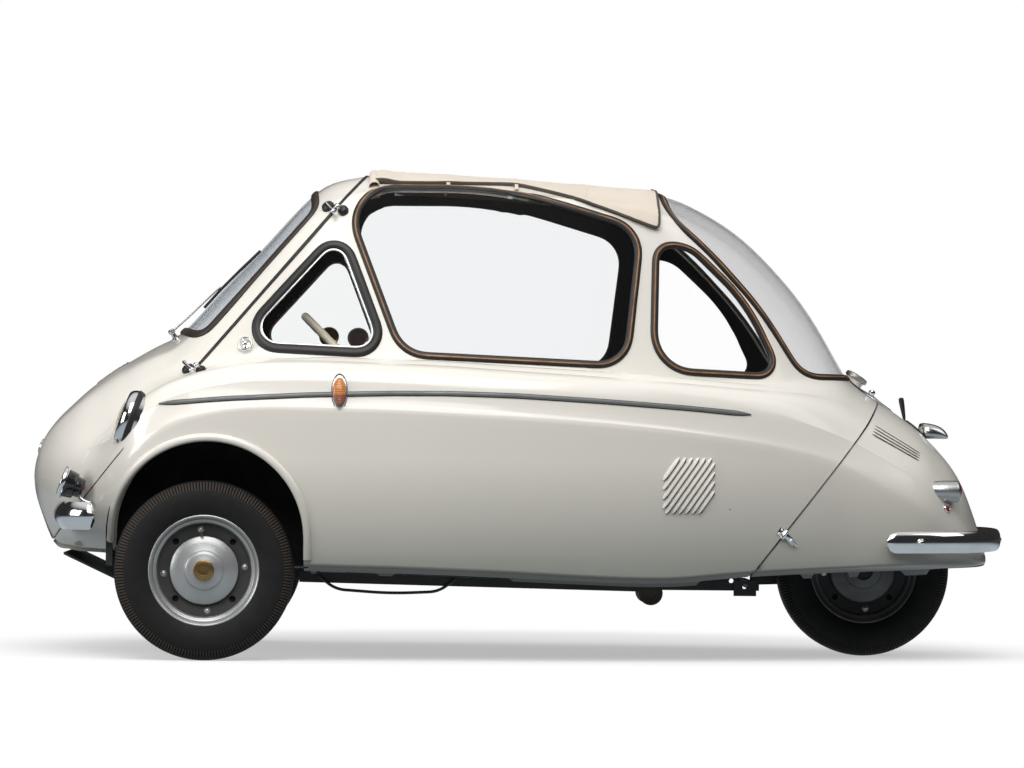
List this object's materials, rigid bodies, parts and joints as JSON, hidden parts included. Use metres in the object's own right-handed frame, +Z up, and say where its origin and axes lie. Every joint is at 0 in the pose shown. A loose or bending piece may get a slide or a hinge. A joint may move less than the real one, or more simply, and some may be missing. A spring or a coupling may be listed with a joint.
{
  "type": "bubble car",
  "caption": "Small three-wheeled bubble car with a front-opening door, bubble rear window, folding cloth roof, steered front wheels and a lift-up tail cover.",
  "frame": {"origin": "on the ground under the middle of the bounding box", "axes": "+X forward towards the nose, +Y to the car's left, +Z up"},
  "size_m": [2.609, 1.416, 1.296],
  "materials": {
    "cream_paint": "gloss, slightly aged",
    "clear_glass": "clear acrylic and safety glass",
    "roof_cloth": "woven beige cloth, coated",
    "black_paint": "satin black",
    "cast_alloy": "as cast",
    "seat_cloth": "woven cloth with piping",
    "chrome": "polished plate",
    "lamp_glass": "clear fluted lens in a chrome bezel",
    "amber_lens": "moulded lens",
    "bare_metal": "dull, worn",
    "wheel_silver": "silver enamel",
    "tyre_rubber": "ribbed shoulder, matt sidewall",
    "wheel_plastic": "ivory moulding"
  },
  "bodies": {
    "body": {"body_shell": "cream_paint", "front_wings": "cream_paint", "rear_window": "clear_glass", "front_quarter_windows": "clear_glass", "side_windows": "clear_glass", "rear_quarter_windows": "clear_glass", "roof_fabric": "roof_cloth", "front_suspension": "black_paint", "chassis_frame": "black_paint", "swing_arm": "black_paint", "engine": "cast_alloy", "silencer": "black_paint", "rear_bulkhead": "black_paint", "seat_frame": "black_paint", "front_seat": "seat_cloth", "rear_seat": "seat_cloth", "steering_column": "black_paint", "pedals": "black_paint", "hand_levers": "chrome", "headlamps": "lamp_glass", "front_lamps": "lamp_glass", "side_indicators": "amber_lens", "front_bumpers": "chrome", "fuel_filler": "bare_metal", "tail_hinge_bases": "chrome", "door_hinge_bases": "chrome", "pillar_catches": "chrome", "brake_pipe": "black_paint", "cover_latches": "chrome"},
    "front_door": {"front_door": "cream_paint", "windscreen": "clear_glass", "wiper": "chrome", "door_hinge_arms": "chrome", "vent_flap": "cream_paint", "nose_boss": "chrome"},
    "engine_cover": {"engine_cover": "cream_paint", "rear_bumper": "chrome", "tail_lamps": "chrome", "plate_lamp": "chrome", "tail_hinge_leaves": "chrome", "cover_buffer": "black_paint"},
    "left_knuckle": {"knuckle_left": "black_paint"},
    "right_knuckle": {"knuckle_right": "black_paint"},
    "front_left_wheel": {"front_left_wheel": "wheel_silver", "front_left_tyre": "tyre_rubber"},
    "front_right_wheel": {"front_right_wheel": "wheel_silver", "front_right_tyre": "tyre_rubber"},
    "rear_wheel": {"rear_wheel": "wheel_silver", "rear_tyre": "tyre_rubber"},
    "steering_wheel": {"steering_wheel": "wheel_plastic"}
  },
  "joints": [
    {"name": "steer_left", "type": "hinge", "parent": "body", "child": "left_knuckle", "pos_m": [0.823, 0.566, 0.232], "axis": [0, 0, 1], "range_deg": [-25, 25]},
    {"name": "steer_right", "type": "hinge", "parent": "body", "child": "right_knuckle", "pos_m": [0.823, -0.566, 0.232], "axis": [0, 0, 1], "range_deg": [-25, 25]},
    {"name": "steering_wheel_turn", "type": "hinge", "parent": "body", "child": "steering_wheel", "pos_m": [0.448, 0.25, 0.771], "axis": [-0.7071, 0, 0.7071], "range_deg": [-300, 300]},
    {"name": "front_left_spin", "type": "hinge", "parent": "left_knuckle", "child": "front_left_wheel", "pos_m": [0.823, 0.61, 0.232], "axis": [0, 1, 0], "continuous": true},
    {"name": "front_right_spin", "type": "hinge", "parent": "right_knuckle", "child": "front_right_wheel", "pos_m": [0.823, -0.61, 0.232], "axis": [0, 1, 0], "continuous": true},
    {"name": "rear_spin", "type": "hinge", "parent": "body", "child": "rear_wheel", "pos_m": [-0.937, 0, 0.232], "axis": [0, 1, 0], "continuous": true},
    {"name": "door_swing", "type": "hinge", "parent": "body", "child": "front_door", "pos_m": [0.857, 0.533, 0.757], "axis": [-0.6471, -0.1323, 0.7508], "range_deg": [0, 85]},
    {"name": "tail_lift", "type": "hinge", "parent": "body", "child": "engine_cover", "pos_m": [-0.948, 0, 0.711], "axis": [0, 1, 0], "range_deg": [0, 60]}
  ],
  "couplings": [
    {"joint": "steer_right", "follows": "steer_left", "ratio": 1},
    {"joint": "steering_wheel_turn", "follows": "steer_left", "ratio": 12}
  ]
}
